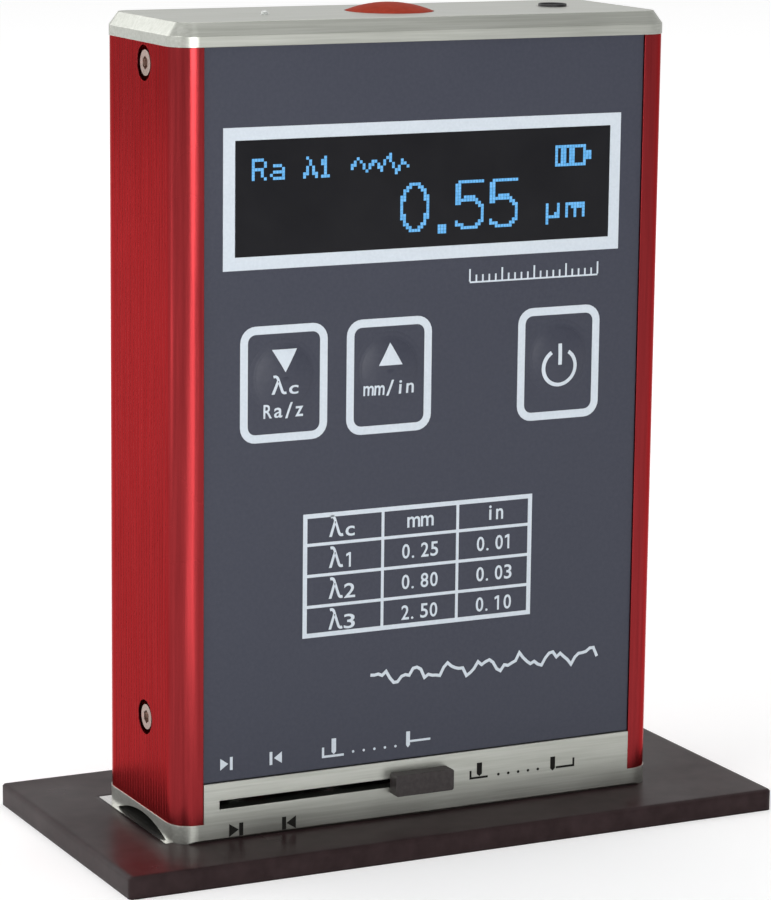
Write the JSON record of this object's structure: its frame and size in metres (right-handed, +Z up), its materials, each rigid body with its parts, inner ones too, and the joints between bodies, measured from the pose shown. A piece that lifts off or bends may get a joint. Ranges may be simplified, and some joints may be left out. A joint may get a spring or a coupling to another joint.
{
  "type": "surface roughness tester",
  "caption": "Pocket surface roughness tester with a red housing, display, membrane keys, start button and slide door, standing on its dark reference plate.",
  "frame": {"origin": "under the middle of the tester, on the underside of the plate that it stands on", "axes": "+X to the right along the front panel, +Y from the front panel to the back, +Z up"},
  "size_m": [0.0973, 0.0472, 0.1126],
  "materials": {
    "red_anodised": "red anodised, satin",
    "silver": "fine brushed",
    "plate_dark": "polished",
    "specimen_steel": "ground",
    "film_grey": "matt printed film",
    "inner_plastic": "moulded",
    "window_dark": "clear over black",
    "gasket_foam": "foam",
    "display_glass": "black glass",
    "board_green": "solder mask",
    "black_plastic": "moulded",
    "steel": "plain",
    "brass": "turned",
    "button_orange": "satin",
    "lamp_clear": "clear",
    "battery_foil": "foil pouch",
    "tape": "foam tape",
    "knob_grey": "ribbed",
    "chassis_metal": "plain",
    "ruby": "polished"
  },
  "bodies": {
    "tester": {"sample_plate": "plate_dark", "specimen": "specimen_steel", "base": "silver", "housing": "red_anodised", "top_cap": "silver", "side_screws": "steel", "front_plate": "inner_plastic", "film": "film_grey", "display_window": "window_dark", "display_gasket": "gasket_foam", "display_glass": "display_glass", "display_board": "board_green", "display_header": "black_plastic", "main_board": "board_green", "board_chips": "black_plastic", "board_standoffs": "brass", "board_screws": "steel", "key_switches": "black_plastic", "start_switch": "black_plastic", "io_board": "board_green", "io_screws": "steel", "charge_jack": "black_plastic", "charge_lamp": "lamp_clear", "battery": "battery_foil", "battery_tape": "tape", "drive_chassis": "chassis_metal", "chassis_screws": "steel", "gear_motor": "steel", "motor_screws": "steel", "screw_bush": "brass", "guide_rods": "steel"},
    "door": {"door": "steel", "slide_knob": "knob_grey"},
    "lead_screw": {"lead_screw": "steel"},
    "carriage": {"carriage": "black_plastic", "lead_nut": "brass"},
    "pickup": {"pickup_holder": "chassis_metal", "pickup_posts": "steel", "skid": "ruby", "stylus": "steel"},
    "start_button": {"start_button": "button_orange"},
    "down_key": {"down_key": "film_grey"},
    "up_key": {"up_key": "film_grey"},
    "power_key": {"power_key": "film_grey"}
  },
  "joints": [
    {"name": "door_slide", "type": "slide", "parent": "tester", "child": "door", "axis": [-1, 0, 0], "range_m": [0, 0.027]},
    {"name": "lead_screw_turn", "type": "hinge", "parent": "tester", "child": "lead_screw", "pos_m": [-0.005, 0.004, 0.028], "axis": [1, 0, 0], "range_deg": [0, 2160]},
    {"name": "carriage_slide", "type": "slide", "parent": "tester", "child": "carriage", "axis": [1, 0, 0], "range_m": [0, 0.006]},
    {"name": "pickup_lift", "type": "slide", "parent": "carriage", "child": "pickup", "axis": [0, 0, 1], "range_m": [0, 0.005]},
    {"name": "start_press", "type": "slide", "parent": "tester", "child": "start_button", "axis": [0, 0, -1], "range_m": [0, 0.0008], "stiffness_N_per_m": 2000},
    {"name": "down_key_press", "type": "slide", "parent": "tester", "child": "down_key", "axis": [0, 1, 0], "range_m": [0, 0.0004], "stiffness_N_per_m": 5000},
    {"name": "up_key_press", "type": "slide", "parent": "tester", "child": "up_key", "axis": [0, 1, 0], "range_m": [0, 0.0004], "stiffness_N_per_m": 5000},
    {"name": "power_key_press", "type": "slide", "parent": "tester", "child": "power_key", "axis": [0, 1, 0], "range_m": [0, 0.0004], "stiffness_N_per_m": 5000}
  ],
  "couplings": [
    {"joint": "pickup_lift", "follows": "door_slide", "ratio": 0.18518},
    {"joint": "lead_screw_turn", "follows": "carriage_slide", "rad_per_m": 6283.2}
  ]
}
